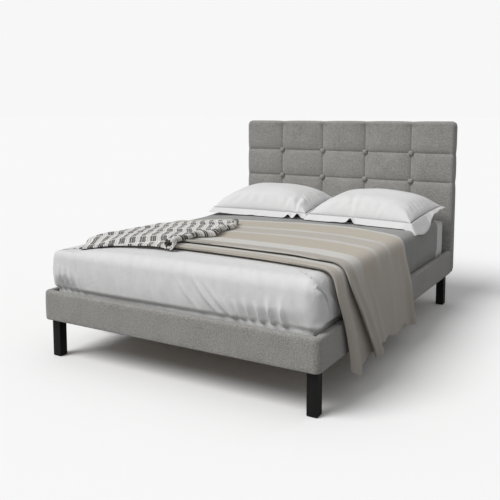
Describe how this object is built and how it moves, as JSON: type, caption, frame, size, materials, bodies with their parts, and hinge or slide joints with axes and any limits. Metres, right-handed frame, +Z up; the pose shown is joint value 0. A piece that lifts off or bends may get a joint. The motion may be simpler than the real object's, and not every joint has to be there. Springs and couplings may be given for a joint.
{
  "type": "upholstered headboard bed",
  "caption": "Platform bed with a button-tufted fabric headboard, padded rails, square legs and a slatted base, made up with mattress, bedding, throw and pillows.",
  "frame": {"origin": "on the floor, below the middle of the bed's length and width", "axes": "+Z up, +Y towards the headboard, +X to the right seen from the foot"},
  "size_m": [1.4906, 1.995, 1.115],
  "materials": {
    "grey_upholstery": "matte",
    "padding_foam": "matte",
    "back_cloth": "matte",
    "frame_timber": "matte",
    "slat_wood": "satin",
    "plywood": "matte",
    "black_leg": "satin",
    "glide_plastic": "matte",
    "zinc_steel": "satin",
    "strap_webbing": "matte",
    "mattress_ticking": "matte",
    "white_bedding": "matte",
    "grey_coverlet": "matte",
    "striped_blanket": "matte",
    "knit_throw": "matte"
  },
  "bodies": {
    "bed_frame": {"headboard_cover": "grey_upholstery", "side_rail_cover_left": "grey_upholstery", "side_rail_cover_right": "grey_upholstery", "foot_rail_cover": "grey_upholstery", "tuft_buttons": "grey_upholstery", "headboard_foam": "padding_foam", "side_rail_foam_left": "padding_foam", "side_rail_foam_right": "padding_foam", "foot_rail_foam": "padding_foam", "headboard_back_cloth": "back_cloth", "headboard_stiles": "frame_timber", "headboard_crossbars": "frame_timber", "side_rail_board_left": "frame_timber", "side_rail_board_right": "frame_timber", "foot_rail_board": "frame_timber", "corner_blocks": "frame_timber", "slat_cleat_left": "frame_timber", "slat_cleat_right": "frame_timber", "centre_beam": "frame_timber", "slats": "slat_wood", "headboard_panel": "plywood", "leg_front_left": "black_leg", "leg_front_right": "black_leg", "leg_rear_left": "black_leg", "leg_rear_right": "black_leg", "centre_leg_front": "black_leg", "centre_leg_rear": "black_leg", "leg_glides": "glide_plastic", "corner_brackets": "zinc_steel", "corner_bolts": "zinc_steel", "leg_bolts": "zinc_steel", "leg_tee_nuts": "zinc_steel", "cleat_screws": "zinc_steel", "beam_hangers": "zinc_steel", "beam_hanger_screws": "zinc_steel", "centre_leg_screws": "zinc_steel", "slat_straps": "strap_webbing", "tuft_ties": "strap_webbing"},
    "mattress": {"mattress_ticking": "mattress_ticking", "mattress_pads": "padding_foam", "mattress_border_foam": "padding_foam", "mattress_pocket_coils": "back_cloth", "fitted_sheet": "white_bedding", "duvet": "white_bedding", "coverlet": "grey_coverlet"},
    "blanket": {"blanket_lower_fold": "striped_blanket", "blanket_upper_fold": "striped_blanket"},
    "throw": {"throw": "knit_throw"},
    "pillow_left": {"pillowcase_left": "white_bedding", "pillow_insert_left": "white_bedding"},
    "pillow_right": {"pillowcase_right": "white_bedding", "pillow_insert_right": "white_bedding"},
    "leveller_front": {"leveller_front": "glide_plastic"},
    "leveller_rear": {"leveller_rear": "glide_plastic"}
  },
  "joints": [
    {"name": "mattress_lift", "type": "slide", "parent": "bed_frame", "child": "mattress", "axis": [0, 0, 1], "range_m": [0, 0.35]},
    {"name": "blanket_lift", "type": "slide", "parent": "mattress", "child": "blanket", "axis": [0, 0, 1], "range_m": [0, 0.45]},
    {"name": "throw_lift", "type": "slide", "parent": "blanket", "child": "throw", "axis": [0, 0, 1], "range_m": [0, 0.25]},
    {"name": "pillow_left_lift", "type": "slide", "parent": "mattress", "child": "pillow_left", "axis": [0, 0, 1], "range_m": [0, 0.3]},
    {"name": "pillow_right_lift", "type": "slide", "parent": "mattress", "child": "pillow_right", "axis": [0, 0, 1], "range_m": [0, 0.3]},
    {"name": "leveller_front_screw", "type": "slide", "parent": "bed_frame", "child": "leveller_front", "axis": [0, 0, 1], "range_m": [0, 0.01]},
    {"name": "leveller_rear_screw", "type": "slide", "parent": "bed_frame", "child": "leveller_rear", "axis": [0, 0, 1], "range_m": [0, 0.01]}
  ]
}
